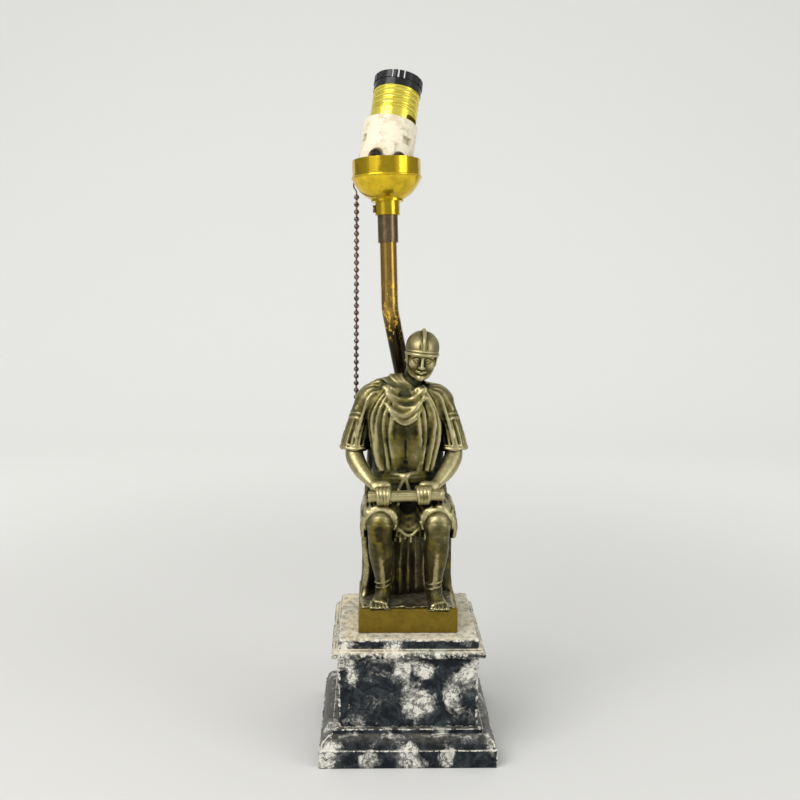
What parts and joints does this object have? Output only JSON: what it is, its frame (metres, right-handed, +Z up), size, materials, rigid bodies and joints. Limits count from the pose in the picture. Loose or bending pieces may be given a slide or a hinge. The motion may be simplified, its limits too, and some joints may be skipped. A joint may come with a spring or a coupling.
{
  "type": "table lamp",
  "caption": "Table lamp with a stepped marble base, a seated bronze figure, a bent tube behind it and an open pull-chain lamp socket.",
  "frame": {"origin": "middle of the marble base's underside", "axes": "+Z up, the figure faces -Y, +X to the viewer's right"},
  "size_m": [0.1016, 0.1016, 0.3948],
  "materials": {
    "marble": "polished, dark grey-blue with white veins and clouded patches, worn edges",
    "bronze": "cast bronze with olive brown patina, dark in the recesses",
    "bright_brass": "spun brass, bright with small tarnish spots",
    "tube_brass": "lacquered brass, brown with rubbed patches",
    "brown_brass": "brown oxidised brass",
    "porcelain": "matt ivory porcelain",
    "black_moulding": "glossy black moulded ring",
    "steel": "plain steel",
    "dark_screw": "blackened screw",
    "copper": "copper alloy",
    "antique_chain": "antique brown beads",
    "fibre": "hard vulcanised fibre",
    "lead_cover": "rubber covered lead"
  },
  "bodies": {
    "lamp": {"base_plinth": "marble", "base_die": "marble", "base_cap": "marble", "lamp_tube": "tube_brass", "tube_collar": "tube_brass", "tube_nut": "tube_brass", "tube_washer": "steel", "tie_rod": "steel", "tie_nut": "steel", "tie_washer": "steel", "cord_bushing": "black_moulding", "tube_coupling": "brown_brass", "tube_nipple": "bright_brass", "socket_cap": "bright_brass", "cap_set_screw": "brown_brass", "insulator_body": "porcelain", "terminal_plates": "copper", "terminal_screws": "dark_screw", "screw_shell": "bright_brass", "shell_ring": "black_moulding", "centre_contact": "copper", "switch_pin": "steel", "lead_wires": "lead_cover", "figure_plinth": "bronze", "figure_seat": "bronze", "figure_body": "bronze", "figure_left_leg": "bronze", "figure_right_leg": "bronze", "figure_scroll": "bronze", "figure_left_forearm": "bronze", "figure_right_forearm": "bronze", "figure_head": "bronze"},
    "chain": {"pull_chain": "antique_chain", "chain_hook": "antique_chain"},
    "lever": {"pull_lever": "copper"},
    "ratchet": {"ratchet_wheel": "fibre"}
  },
  "joints": [
    {"name": "chain_pull", "type": "slide", "parent": "lamp", "child": "chain", "axis": [0, 0, -1], "range_m": [0, 0.007], "stiffness_N_per_m": 200},
    {"name": "lever_turn", "type": "hinge", "parent": "lamp", "child": "lever", "pos_m": [-0.0175, 0.02145, 0.33741], "axis": [-0.4363, -0.8998, 0], "range_deg": [0, 32.3]},
    {"name": "ratchet_turn", "type": "hinge", "parent": "lamp", "child": "ratchet", "pos_m": [-0.0175, 0.02145, 0.33741], "axis": [-0.4363, -0.8998, 0], "range_deg": [0, 90.1]}
  ],
  "couplings": [
    {"joint": "lever_turn", "follows": "chain_pull", "rad_per_m": 80.449},
    {"joint": "ratchet_turn", "follows": "chain_pull", "rad_per_m": 224.39}
  ]
}
